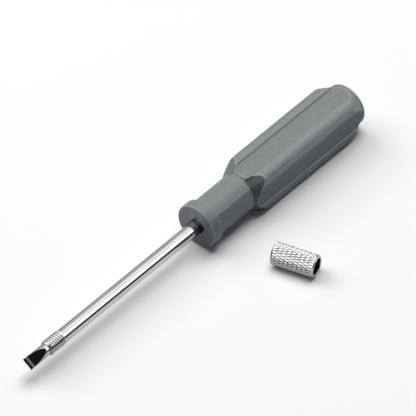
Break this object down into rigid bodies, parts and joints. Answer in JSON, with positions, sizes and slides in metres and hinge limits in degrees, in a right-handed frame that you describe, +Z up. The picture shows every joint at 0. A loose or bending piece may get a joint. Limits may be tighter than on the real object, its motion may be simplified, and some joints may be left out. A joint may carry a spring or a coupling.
{
  "type": "slotted screwdriver",
  "caption": "Slotted screwdriver with a grey square-grip plastic handle, a chromed shank threaded behind its magnetised blade, and a loose knurled guide sleeve that screws onto the thread.",
  "frame": {"origin": "middle of the blade's end face, on the tool's axis", "axes": "+X runs along the shank from the blade to the butt, +Z is up from the surface the tool lies on, and the sleeve lies on the -Y side"},
  "size_m": [0.1926, 0.0581, 0.0194],
  "materials": {
    "handle_plastic": "fine satin moulded grey",
    "chromed_steel": "bright chrome plate, ground blade flats blackened",
    "nickel_steel": "bright nickel plate over a diamond knurl"
  },
  "bodies": {
    "driver": {"handle": "handle_plastic", "shank": "chromed_steel"},
    "sleeve": {"sleeve": "nickel_steel"}
  },
  "joints": [
    {"name": "sleeve_lift", "type": "slide", "parent": "driver", "child": "sleeve", "axis": [0, 0, 1], "range_m": [0, 0.05]}
  ]
}
